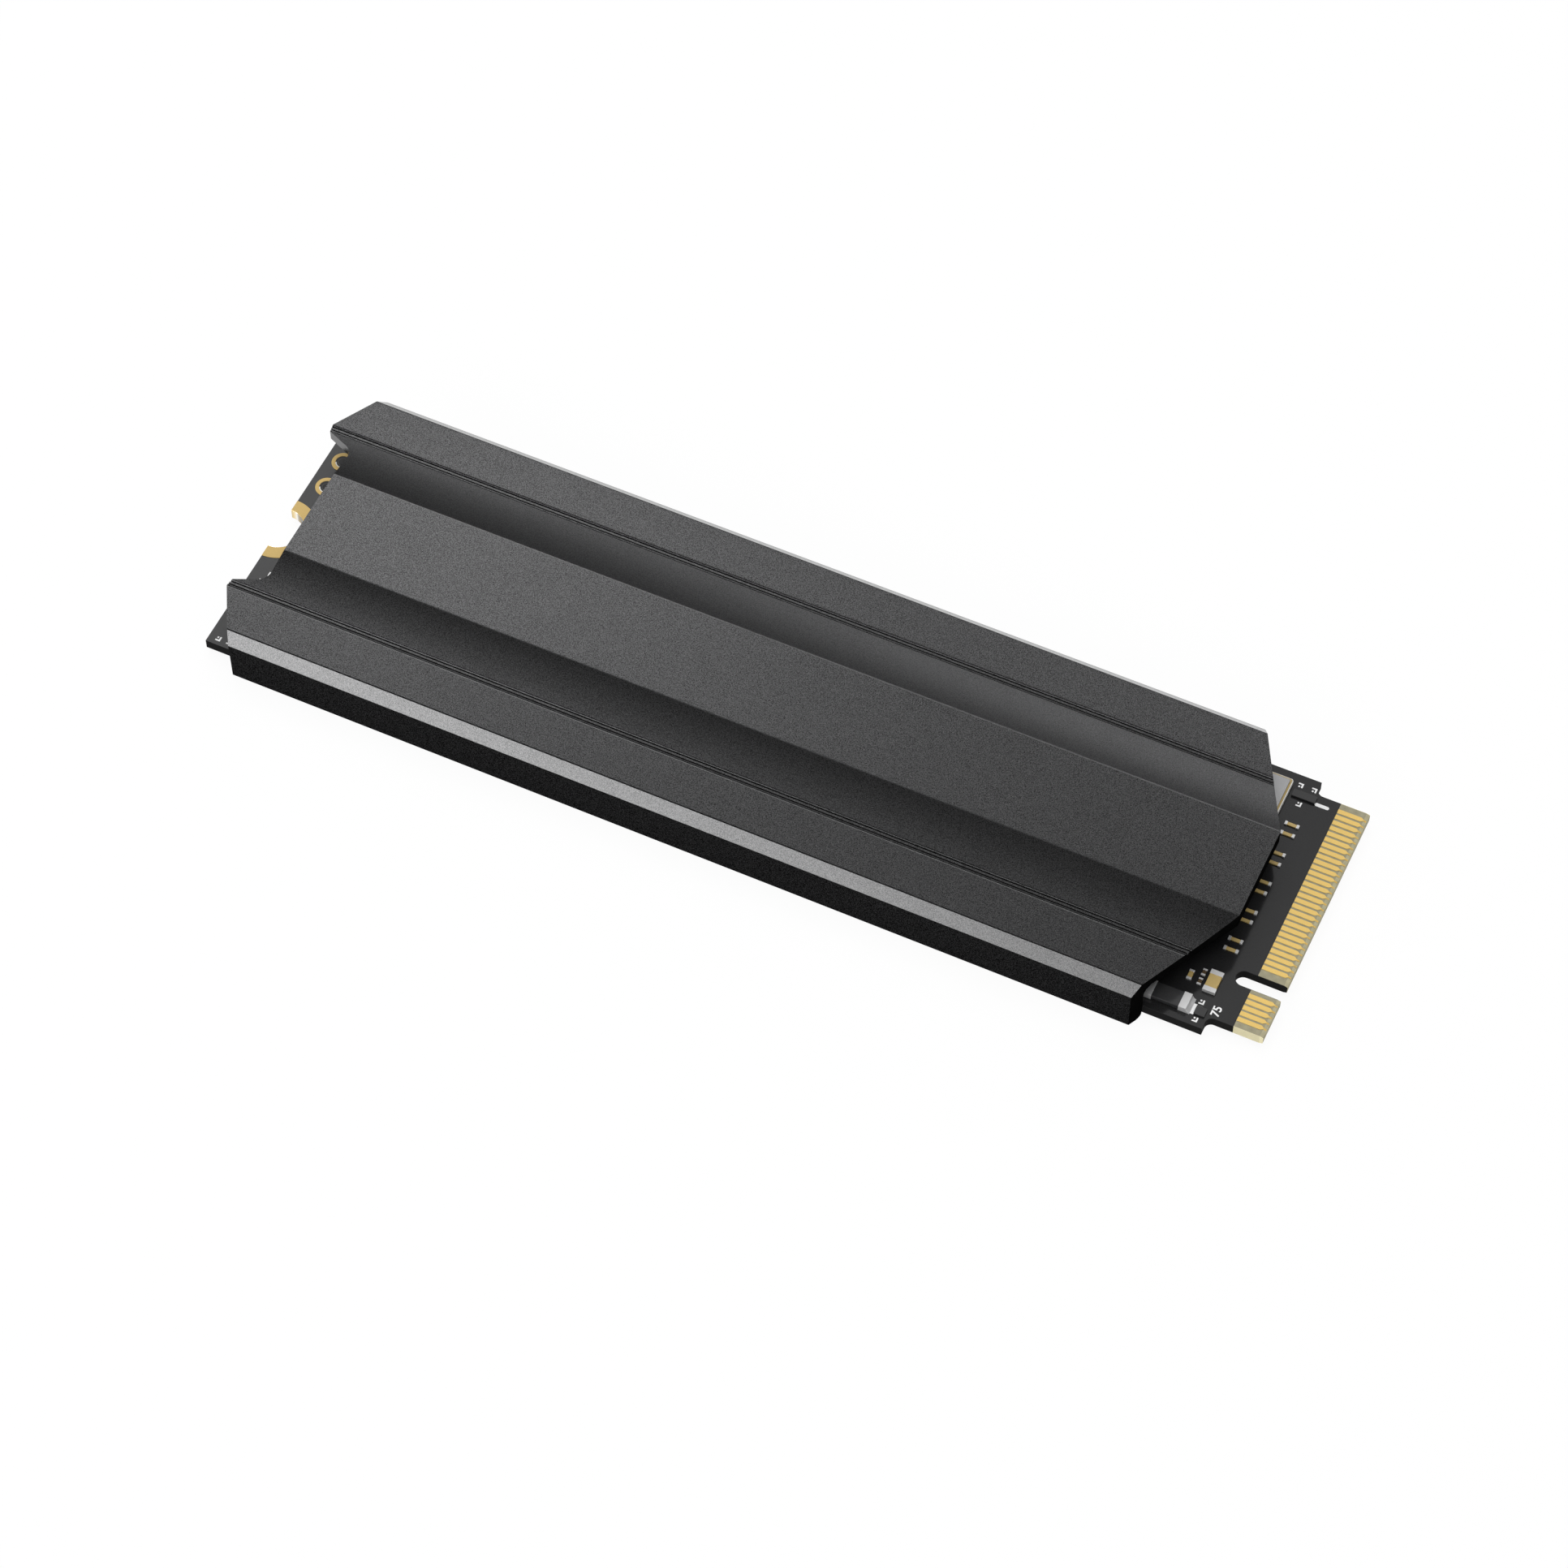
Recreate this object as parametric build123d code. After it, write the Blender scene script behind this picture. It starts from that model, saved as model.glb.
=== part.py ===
from build123d import *
import math
import os

# A solid-state drive on a 22 x 80 mm module card, under a one-piece black anodised aluminium
# heatsink whose side walls wrap the card's long edges. All lengths are millimetres.
# X runs along the card: the edge contacts are at +X and the half-round screw notch is at -X.
# Y runs across the card and Z is up. The origin is the middle of the card's length and width,
# on the plane that the heatsink's side walls stand on.
# A setback is measured from the end of the card and an inset from its long edge.

# The card and its contact tongue, to the module standard
card_length = 80.0
card_width = 22.0
card_thickness = 0.8
tongue_step = 1.075
tongue_length = 4.0
tongue_corner_radius = 0.5
bevel_length = 0.25
bevel_depth = 0.09
key_slot_width = 1.2
key_slot_depth = 3.5

# The gold edge contacts: odd pins on top and even pins underneath, none at the key slot
pin_pitch = 0.5
pin_inset = 0.675
key_pins = 8
pins_after_key = 9
contact_width = 0.35
contact_thickness = 0.04
contact_band = 2.14
contact_taper_setback = 0.43
contact_tail_setback = 0.27
contact_tip_setback = 0.04
contact_tail_width = 0.13

# The plated screw notch and the two plated holes beside it, which are plugged flush with the card
notch_radius = 1.75
notch_pad_radius = 2.7
plating_wall = 0.03
plating_thickness = 0.035
hole_radius = 0.55
hole_ring_radius = 0.83
hole_setback = 1.31
hole_near_inset = 6.29
hole_far_inset = 3.78

# The heatsink's cross-section
rail_drop = 0.54
side_wall = 1.01
card_side_gap = 0.05
plateau_half_width = 3.75
plateau_thickness = 1.27
flank_width = 3.547
flank_radius = 34.0
flank_foot_thickness = 0.85
band_width = 0.68
band_outer_thickness = 0.84
groove_width = 0.15
groove_depth = 0.16
groove_floor_width = 0.07
groove_pitch = 0.235
groove_inset = 0.225
wing_edge_thickness = 0.75
edge_chamfer = 0.8
chamfer_edge_radius = 0.2
inner_corner_radius = 0.8
rail_foot_radius = 0.5

# The heatsink's ends, seen from above: a pointed nose over the contacts' end of the card,
# and two ears either side of a recess that leaves room for the screw head
nose_setback = 4.5
nose_cut_angle = 27.5
recess_setback = 2.74
recess_corner_radius = 1.0
ear_root_width = 0.97
ear_setback = 0.46
ear_tip_setback = 0.354
ear_cut_angle = 29.0
ear_corner_radius = 0.06

# The chips under the heatsink, all of one height, and the thermal pad on them
chip_height = 1.2
chip_edge = 0.08
chips_notch_setback = 4.5
chips_contact_setback = 12.5
controller_length = 14.0
controller_width = 14.0
controller_rim = 0.4
controller_substrate = 0.3
memory_length = 7.5
memory_width = 13.3
flash_length = 12.0
flash_inset = 2.0
pad_thickness = 1.0
pad_inset = 1.5
pad_overhang = 1.0

# The power stage between the controller and the contacts
regulator_side = 4.0
regulator_height = 0.8
regulator_gap = 0.5
coil_length = 2.0
coil_width = 1.6
coil_height = 1.0
coil_band = 0.35
coil_skin = 0.04
coil_gap = 0.4

# The large inlet filter at the front corner, with solder climbing its ends
filter_length = 3.1
filter_width = 1.3
filter_height = 0.5
filter_band = 0.57
filter_skin = 0.04
filter_end_setback = 5.47
filter_inset = 0.68
solder_reach = 0.28
solder_rise = 0.36
solder_hollow_radius = 0.5

# The capacitors and resistors
part_skin = 0.02
coupling_length = 1.06
coupling_width = 0.3
coupling_height = 0.15
coupling_band = 0.2
coupling_setback = 4.565
coupling_pair_gap = 0.845
coupling_back_inset = 4.64
coupling_front_inset = 7.02
coupling_pairs = 5
bypass_length = 0.78
bypass_width = 0.37
bypass_height = 0.18
bypass_band = 0.16
bypass_setback = 6.29
bypass_inset = 3.59
bypass_row_pitch = 2.2
bypass_row_count = 7
corner_near_setback = 1.7
corner_near_inset = 6.95
corner_far_setback = 1.31
corner_far_inset = 6.14
bulk_length = 1.76
bulk_width = 0.92
bulk_height = 0.3
bulk_band = 0.37
bulk_setback = 4.67
bulk_inset = 3.65
resistor_length = 0.55
resistor_width = 0.3
resistor_height = 0.12
resistor_band = 0.13
resistor_setback = 5.52
resistor_near_inset = 4.17
resistor_far_inset = 3.38

# The oscillator can and the two small logic chips
oscillator_length = 2.5
oscillator_width = 3.2
oscillator_base_height = 0.42
oscillator_corner_radius = 0.18
oscillator_end_setback = 5.76
oscillator_inset = 0.85
seal_inset = 0.07
seal_width = 0.28
seal_thickness = 0.04
lid_inset = 0.2
lid_thickness = 0.1
lid_corner_radius = 0.08
buffer_length = 1.75
buffer_width = 0.65
buffer_height = 0.2
buffer_setback = 4.66
buffer_inset = 1.65
monitor_length = 0.78
monitor_width = 0.7
monitor_height = 0.2
monitor_setback = 4.57
monitor_inset = 1.17

# One overrun for every cut that runs out of its piece
cut_overrun = 1.0

# Levels and edges that several pieces share
card_bottom = rail_drop
card_top = card_bottom + card_thickness
contact_end = card_length / 2
notch_end = -card_length / 2
card_edge = card_width / 2
tongue_edge = card_edge - tongue_step
shoulder = contact_end - tongue_length
hole_rows = [card_edge - hole_near_inset, card_edge - hole_far_inset]
plate_bottom = card_top + chip_height + pad_thickness
plateau_top = plate_bottom + plateau_thickness
wall_inside = card_edge + card_side_gap
wall_outside = wall_inside + side_wall

# The hollow flank runs from the plateau's edge to the band that holds the two grooves
band_inner = plateau_half_width + flank_width
band_outer = band_inner + band_width

# Pins are numbered across both faces, half a pitch apart
pin_count = round(2 * (tongue_edge - pin_inset) / (pin_pitch / 2)) + 1
last_key_pin = pin_count - pins_after_key
first_key_pin = last_key_pin - key_pins + 1

STANDING = (Align.CENTER, Align.CENTER, Align.MIN)
ALONG = 0
ACROSS = 90


def standing_block(length, width, height, base=card_top):
    """A block that stands on a level, centred on the Z axis."""
    return Pos(0, 0, base) * Box(length, width, height, align=STANDING)


def corner_at(outline, x, y):
    """The corner of a flat outline that lies nearest to a point of it."""
    return outline.vertices().sort_by_distance(Vector(x, y, 0))[0]


def across_card(profile, half_width):
    """An outline drawn in X and Z, run across the card to both sides of its middle line."""
    return extrude(Plane.XZ * profile, half_width, both=True)


# The card

def pin_place(pin):
    return tongue_edge - pin_inset - (pin - 1) * pin_pitch / 2


def key_slot():
    """The slot's outline: a round inner end and straight sides that run out of the tongue."""
    middle = pin_place((first_key_pin + last_key_pin) / 2)
    round_centre = contact_end - key_slot_depth + key_slot_width / 2
    run = contact_end + cut_overrun - round_centre
    slot = Pos(round_centre, middle) * Circle(key_slot_width / 2)
    return slot + Pos(round_centre + run / 2, middle) * Rectangle(run, key_slot_width)


def card_outline():
    outline = Polygon(
        (notch_end, -card_edge),
        (shoulder, -card_edge),
        (shoulder, -tongue_edge),
        (contact_end, -tongue_edge),
        (contact_end, tongue_edge),
        (shoulder, tongue_edge),
        (shoulder, card_edge),
        (notch_end, card_edge),
        align=None,
    )
    inner_corners = [corner_at(outline, shoulder, side * tongue_edge) for side in (-1, 1)]
    outline = fillet(inner_corners, tongue_corner_radius)
    outline -= key_slot()
    outline -= Pos(notch_end, 0) * Circle(notch_radius + plating_wall)
    for row in hole_rows:
        outline -= Pos(notch_end + hole_setback, row) * Circle(hole_radius + plating_wall)
    return outline


def card_side_profile():
    """The card seen from its long side, with the lead-in bevel on both faces of the tongue."""
    bevel_start = contact_end - bevel_length
    return Polygon(
        (notch_end, card_bottom),
        (bevel_start, card_bottom),
        (contact_end, card_bottom + bevel_depth),
        (contact_end, card_top - bevel_depth),
        (bevel_start, card_top),
        (notch_end, card_top),
        align=None,
    )


def make_card():
    blank = extrude(Plane.XY.offset(card_bottom) * card_outline(), card_thickness)
    return blank & across_card(card_side_profile(), card_edge)


# The edge contacts, which follow the card's face and run down its bevel

def contact_leaf():
    """The plating's thickness seen from the side, bent where the bevel starts."""
    start = contact_end - contact_band
    bevel_start = contact_end - bevel_length
    return Polygon(
        (start, card_top),
        (bevel_start, card_top),
        (contact_end, card_top - bevel_depth),
        (contact_end, card_top - bevel_depth + contact_thickness),
        (bevel_start, card_top + contact_thickness),
        (start, card_top + contact_thickness),
        align=None,
    )


def contact_outline():
    """The contact seen from above: a finger that tapers to a thin tail."""
    start = contact_end - contact_band
    taper = contact_end - contact_taper_setback
    tail = contact_end - contact_tail_setback
    tip = contact_end - contact_tip_setback
    half_finger = contact_width / 2
    half_tail = contact_tail_width / 2
    return Polygon(
        (start, -half_finger),
        (taper, -half_finger),
        (tail, -half_tail),
        (tip, -half_tail),
        (tip, half_tail),
        (tail, half_tail),
        (taper, half_finger),
        (start, half_finger),
        align=None,
    )


def make_contacts():
    column = extrude(Plane.XY * contact_outline(), card_top + cut_overrun)
    upper = across_card(contact_leaf(), contact_width) & column
    lower = mirror(upper, about=Plane.XY.offset((card_bottom + card_top) / 2))
    used_pins = [pin for pin in range(1, pin_count + 1) if not first_key_pin <= pin <= last_key_pin]
    on_top = [Pos(0, pin_place(pin), 0) * upper for pin in used_pins if pin % 2 == 1]
    underneath = [Pos(0, pin_place(pin), 0) * lower for pin in used_pins if pin % 2 == 0]
    return on_top, underneath


# The plated notch and holes: a pad on each face of the card, joined by the barrel's wall

def plated_ring(bore, pad_radius, turn, first_side):
    """A ring about the Z axis, swept from the side of the axis that first_side names."""
    barrel = bore + plating_wall
    section = Polygon(
        (bore, card_bottom - plating_thickness),
        (pad_radius, card_bottom - plating_thickness),
        (pad_radius, card_bottom),
        (barrel, card_bottom),
        (barrel, card_top),
        (pad_radius, card_top),
        (pad_radius, card_top + plating_thickness),
        (bore, card_top + plating_thickness),
        align=None,
    )
    start_plane = Plane(origin=(0, 0, 0), x_dir=(0, first_side, 0), z_dir=(first_side, 0, 0))
    return revolve(start_plane * section, Axis.Z, turn)


def make_notch_plating():
    half_turn = 180
    return Pos(notch_end, 0, 0) * plated_ring(notch_radius, notch_pad_radius, half_turn, -1)


def at_holes(piece):
    column = notch_end + hole_setback
    return [Pos(column, row, 0) * piece for row in hole_rows]


def make_hole_plating():
    full_turn = 360
    return at_holes(plated_ring(hole_radius, hole_ring_radius, full_turn, 1))


def make_hole_plugs():
    plug = Pos(0, 0, card_bottom) * Cylinder(hole_radius, card_thickness, align=STANDING)
    return at_holes(plug)


# The heatsink: one extruded section, its ends milled to the plan outline

def groove():
    """A narrow tapered groove, hanging from the point where its mouth is centred."""
    half_mouth = groove_width / 2
    half_floor = groove_floor_width / 2
    return Polygon(
        (-half_mouth, 0),
        (-half_floor, -groove_depth),
        (half_floor, -groove_depth),
        (half_mouth, 0),
        (half_mouth, groove_depth),
        (-half_mouth, groove_depth),
        align=None,
    )


def heatsink_half_section():
    """The +Y half of the heatsink's section, drawn with Y to the right and Z up."""
    foot_level = plate_bottom + flank_foot_thickness
    band_level = plate_bottom + band_outer_thickness
    wing_level = plate_bottom + wing_edge_thickness
    plateau_edge = (plateau_half_width, plateau_top)
    flank_foot = (band_inner, foot_level)
    wing_edge = (wall_outside - edge_chamfer, wing_level)
    lines = Line((0, plateau_top), plateau_edge)
    lines += RadiusArc(plateau_edge, flank_foot, -flank_radius)
    lines += Polyline(
        flank_foot,
        (band_outer, band_level),
        wing_edge,
        (wall_outside, wing_level - edge_chamfer),
        (wall_outside, 0),
        (wall_inside, 0),
        (wall_inside, plate_bottom),
        (0, plate_bottom),
        (0, plateau_top),
    )
    section = make_face(lines)
    section = fillet(corner_at(section, *wing_edge), chamfer_edge_radius)
    section = fillet(corner_at(section, wall_inside, plate_bottom), inner_corner_radius)
    section = fillet(corner_at(section, wall_inside, 0), rail_foot_radius)
    band_slope = (band_level - foot_level) / band_width
    for count in (0, 1):
        reach = groove_inset + count * groove_pitch
        section -= Pos(band_inner + reach, foot_level + reach * band_slope) * groove()
    return section


def heatsink_plan():
    """The outline that both ends are milled to, seen from above."""
    reach = wall_outside + cut_overrun
    nose = contact_end - nose_setback
    nose_back = (reach - plateau_half_width) * math.tan(math.radians(nose_cut_angle))
    recess = notch_end + recess_setback
    recess_corner = band_inner - ear_root_width
    ear = notch_end + ear_setback
    ear_tip = notch_end + ear_tip_setback
    ear_back = (reach - band_outer) * math.tan(math.radians(ear_cut_angle))
    half = [
        (nose, plateau_half_width),
        (nose - nose_back, reach),
        (ear_tip + ear_back, reach),
        (ear_tip, band_outer),
        (ear, band_inner),
        (recess, recess_corner),
    ]
    other_half = [(x, -y) for x, y in reversed(half)]
    plan = Polygon(*half, *other_half, align=None)
    for side in (-1, 1):
        plan = fillet(corner_at(plan, recess, side * recess_corner), recess_corner_radius)
        plan = fillet(corner_at(plan, ear, side * band_inner), ear_corner_radius)
        plan = fillet(corner_at(plan, ear_tip, side * band_outer), ear_corner_radius)
    return plan


def make_heatsink():
    half = heatsink_half_section()
    section = half + mirror(half, about=Plane.YZ)
    bar = extrude(Plane.YZ * section, card_length / 2, both=True)
    return bar & extrude(Plane.XY * heatsink_plan(), plateau_top + cut_overrun)


# Two-ended components: a body, and a metal cap wrapped round each of its ends

def two_ended(length, width, height, band, skin):
    """A body and its two caps, lying along X on the card."""
    body = standing_block(length - 2 * skin, width - 2 * skin, height - 2 * skin, card_top + skin)
    cap = standing_block(band, width, height)
    caps = [Pos(side * (length - band) / 2, 0, 0) * cap - body for side in (-1, 1)]
    return body, caps


def place_all(component, places):
    """Copies of a two-ended component at (x, y, turn) places."""
    body, caps = component
    bodies = []
    ends = []
    for x, y, turn in places:
        spot = Pos(x, y, 0) * Rot(0, 0, turn)
        bodies.append(spot * body)
        ends.extend(spot * cap for cap in caps)
    return bodies, ends


def make_coupling_capacitors():
    part = two_ended(coupling_length, coupling_width, coupling_height, coupling_band, part_skin)
    column = contact_end - coupling_setback
    row_start = card_edge - coupling_back_inset
    row_end = coupling_front_inset - card_edge
    pair_pitch = (row_start - row_end) / (coupling_pairs - 1)
    places = []
    for pair in range(coupling_pairs):
        middle = row_start - pair * pair_pitch
        places += [(column, middle + side * coupling_pair_gap / 2, ALONG) for side in (1, -1)]
    return place_all(part, places)


def make_bypass_capacitors(row_columns):
    part = two_ended(bypass_length, bypass_width, bypass_height, bypass_band, part_skin)
    places = [
        (contact_end - bypass_setback, bypass_inset - card_edge, ACROSS),
        (notch_end + corner_near_setback, corner_near_inset - card_edge, ALONG),
        (notch_end + corner_far_setback, corner_far_inset - card_edge, ALONG),
    ]
    row_start = -bypass_row_pitch * (bypass_row_count - 1) / 2
    for column in row_columns:
        for count in range(bypass_row_count):
            places.append((column, row_start + count * bypass_row_pitch, ACROSS))
    return place_all(part, places)


def make_bulk_capacitor():
    part = two_ended(bulk_length, bulk_width, bulk_height, bulk_band, part_skin)
    return place_all(part, [(contact_end - bulk_setback, bulk_inset - card_edge, ACROSS)])


def make_resistors():
    part = two_ended(resistor_length, resistor_width, resistor_height, resistor_band, part_skin)
    column = contact_end - resistor_setback
    insets = (resistor_near_inset, resistor_far_inset)
    return place_all(part, [(column, inset - card_edge, ACROSS) for inset in insets])


def make_coils(column):
    part = two_ended(coil_length, coil_width, coil_height, coil_band, coil_skin)
    offset = regulator_side / 2 + coil_gap + coil_length / 2
    return place_all(part, [(column, side * offset, ACROSS) for side in (-1, 1)])


# The filter and the solder fillets that climb its two ends

filter_middle = contact_end - filter_end_setback - filter_length / 2
filter_row = filter_inset + filter_width / 2 - card_edge


def make_filter():
    part = two_ended(filter_length, filter_width, filter_height, filter_band, filter_skin)
    return place_all(part, [(filter_middle, filter_row, ALONG)])


def make_filter_solder():
    rise = Line((0, 0), (0, solder_rise))
    hollow = RadiusArc((0, solder_rise), (solder_reach, 0), -solder_hollow_radius)
    foot = Line((solder_reach, 0), (0, 0))
    wedge = across_card(make_face([rise, hollow, foot]), filter_width / 2)
    at_end = Pos(filter_length / 2, 0, 0) * wedge
    spot = Pos(filter_middle, filter_row, card_top)
    return [spot * at_end, spot * mirror(at_end, about=Plane.YZ)]


# The chips and the oscillator

def moulded_chip(length, width, height):
    block = standing_block(length, width, height)
    return chamfer(block.faces().sort_by(Axis.Z)[-1].edges(), chip_edge)


def make_controller():
    substrate = standing_block(controller_length, controller_width, controller_substrate)
    cap_length = controller_length - 2 * controller_rim
    cap_width = controller_width - 2 * controller_rim
    return substrate + moulded_chip(cap_length, cap_width, chip_height)


def inset_plate(inset, corner_radius, thickness, level):
    """A plate on the oscillator, drawn in from the edge of its base."""
    length = oscillator_length - 2 * inset
    width = oscillator_width - 2 * inset
    return Pos(0, 0, level) * extrude(RectangleRounded(length, width, corner_radius), thickness)


def make_oscillator():
    base = inset_plate(0, oscillator_corner_radius, oscillator_base_height, 0)
    seal_radius = oscillator_corner_radius - seal_inset
    seal = inset_plate(seal_inset, seal_radius, seal_thickness, oscillator_base_height)
    opening = 2 * (seal_inset + seal_width)
    seal -= Pos(0, 0, oscillator_base_height) * Box(
        oscillator_length - opening, oscillator_width - opening, seal_thickness * 2
    )
    lid_level = oscillator_base_height + seal_thickness
    lid = inset_plate(lid_inset, lid_corner_radius, lid_thickness, lid_level)
    column = contact_end - oscillator_end_setback - oscillator_length / 2
    row = card_edge - oscillator_inset - oscillator_width / 2
    spot = Pos(column, row, card_top)
    return spot * base, spot * seal, spot * lid


# Where the chips lie: two flash chips, the memory and the controller, evenly spaced

chips_start = notch_end + chips_notch_setback
chips_end = contact_end - chips_contact_setback
chip_lengths = [flash_length, flash_length, memory_length, controller_length]
chip_gap = (chips_end - chips_start - sum(chip_lengths)) / (len(chip_lengths) - 1)
flash_far_middle = chips_start + flash_length / 2
flash_near_middle = flash_far_middle + flash_length + chip_gap
memory_middle = flash_near_middle + (flash_length + memory_length) / 2 + chip_gap
controller_middle = chips_end - controller_length / 2
bypass_columns = [
    (flash_far_middle + flash_near_middle) / 2,
    controller_middle - (controller_length + chip_gap) / 2,
]
regulator_middle = chips_end + regulator_gap + regulator_side / 2

pad_length = chips_end - chips_start + 2 * pad_overhang
pad_width = card_width - 2 * pad_inset
pad_sheet = standing_block(pad_length, pad_width, pad_thickness, card_top + chip_height)

flash_chip = moulded_chip(flash_length, card_width - 2 * flash_inset, chip_height)
memory_chip = moulded_chip(memory_length, memory_width, chip_height)
regulator_chip = moulded_chip(regulator_side, regulator_side, regulator_height)
buffer_chip = standing_block(buffer_length, buffer_width, buffer_height)
monitor_chip = standing_block(monitor_length, monitor_width, monitor_height)
buffer_spot = Pos(contact_end - buffer_setback, card_edge - buffer_inset, 0)
monitor_spot = Pos(contact_end - monitor_setback, monitor_inset - card_edge, 0)

contacts_on_top, contacts_underneath = make_contacts()
coupling_bodies, coupling_ends = make_coupling_capacitors()
bypass_bodies, bypass_ends = make_bypass_capacitors(bypass_columns)
bulk_bodies, bulk_ends = make_bulk_capacitor()
resistor_bodies, resistor_ends = make_resistors()
coil_bodies, coil_ends = make_coils(regulator_middle)
filter_bodies, filter_ends = make_filter()
oscillator_base, oscillator_seal, oscillator_lid = make_oscillator()

# Each node is one piece, or a group of like pieces

nodes = {
    "heatsink": [make_heatsink()],
    "thermal_pad": [Pos((chips_start + chips_end) / 2, 0, 0) * pad_sheet],
    "circuit_board": [make_card()],
    "edge_contacts_top": contacts_on_top,
    "edge_contacts_bottom": contacts_underneath,
    "notch_plating": [make_notch_plating()],
    "hole_plating": make_hole_plating(),
    "hole_plugs": make_hole_plugs(),
    "controller_chip": [Pos(controller_middle, 0, 0) * make_controller()],
    "memory_chip": [Pos(memory_middle, 0, 0) * memory_chip],
    "flash_chip_near": [Pos(flash_near_middle, 0, 0) * flash_chip],
    "flash_chip_far": [Pos(flash_far_middle, 0, 0) * flash_chip],
    "regulator_chip": [Pos(regulator_middle, 0, 0) * regulator_chip],
    "coil_bodies": coil_bodies,
    "coil_terminals": coil_ends,
    "filter_body": filter_bodies,
    "filter_terminals": filter_ends,
    "filter_solder": make_filter_solder(),
    "coupling_capacitor_bodies": coupling_bodies,
    "coupling_capacitor_terminals": coupling_ends,
    "bypass_capacitor_bodies": bypass_bodies,
    "bypass_capacitor_terminals": bypass_ends,
    "bulk_capacitor_body": bulk_bodies,
    "bulk_capacitor_terminals": bulk_ends,
    "resistor_bodies": resistor_bodies,
    "resistor_terminals": resistor_ends,
    "oscillator_base": [oscillator_base],
    "oscillator_seal_ring": [oscillator_seal],
    "oscillator_lid": [oscillator_lid],
    "buffer_chip": [buffer_spot * buffer_chip],
    "monitor_chip": [monitor_spot * monitor_chip],
}

os.makedirs("parts", exist_ok=True)
for name, pieces in nodes.items():
    solids = [solid for piece in pieces for solid in piece.solids()]
    node = solids[0] if len(solids) == 1 else Compound(children=solids)
    export_step(node, f"parts/{name}.step")
    print(name, len(solids), "solids")
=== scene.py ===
import math
import bmesh
import bpy
from bpy.props import FloatProperty, FloatVectorProperty, PointerProperty
from mathutils import Matrix, Vector


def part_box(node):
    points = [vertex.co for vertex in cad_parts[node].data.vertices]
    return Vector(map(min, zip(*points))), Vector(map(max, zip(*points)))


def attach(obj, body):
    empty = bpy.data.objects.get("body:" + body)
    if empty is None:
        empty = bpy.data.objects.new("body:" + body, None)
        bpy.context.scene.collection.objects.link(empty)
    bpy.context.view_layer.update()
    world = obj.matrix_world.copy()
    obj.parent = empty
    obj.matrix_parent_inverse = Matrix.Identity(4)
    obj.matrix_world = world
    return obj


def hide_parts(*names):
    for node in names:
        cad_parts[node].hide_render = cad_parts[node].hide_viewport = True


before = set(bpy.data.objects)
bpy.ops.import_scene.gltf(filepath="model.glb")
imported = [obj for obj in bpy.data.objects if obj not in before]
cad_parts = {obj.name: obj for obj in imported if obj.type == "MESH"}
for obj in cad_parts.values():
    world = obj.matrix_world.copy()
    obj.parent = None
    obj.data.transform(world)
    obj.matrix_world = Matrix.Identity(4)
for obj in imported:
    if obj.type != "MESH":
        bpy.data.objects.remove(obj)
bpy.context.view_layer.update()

# Looks for a solid-state drive module under a black anodised heatsink. Meshes are shaped in
# millimetres and brought to metres when they are finished. X runs along the card towards its
# edge contacts, Y runs across it, Z is up and zero is the plane that the heatsink stands on.

bl_info = {
    "name": "Solid-state drive module",
    "version": (1, 0, 0),
    "blender": (4, 5, 0),
    "location": "View3D > Sidebar > Drive",
    "description": "Dresses a solid-state drive module with its heatsink, card and components",
    "category": "Object",
}

MM = 0.001
ROOT = "root"
# Faces that meet at less than this are shaded as one, on rings and print and on other pieces
RING_ANGLE = math.radians(40)
FLAT_ANGLE = math.radians(5)
# Edges that bend more than this are softened
SOFTENED_ANGLE = math.radians(9)
# Corners within this many millimetres are one
SAME_PLACE = 0.0005


# Named sizes and colours

def length(description, millimetres):
    return FloatProperty(
        description=description, default=millimetres * MM, unit="LENGTH", precision=5
    )


def angle(description, degrees):
    return FloatProperty(description=description, default=math.radians(degrees), subtype="ANGLE")


def factor(description, value):
    return FloatProperty(description=description, default=value, min=0, max=1, subtype="FACTOR")


def strength(description, value):
    return FloatProperty(description=description, default=value, min=0)


def colour(thing, red, green, blue):
    return FloatVectorProperty(
        description="Colour of the " + thing, default=(red, green, blue), subtype="COLOR",
        min=0, max=1,
    )


def point(description, x, y, z):
    return FloatVectorProperty(
        description=description, default=(x, y, z), subtype="TRANSLATION", unit="LENGTH"
    )


def named(group):
    """Gives each setting of a group its name: its identifier in words."""
    for identifier, setting in group.__annotations__.items():
        setting.keywords["name"] = identifier.replace("_", " ").capitalize()
    return group


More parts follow.
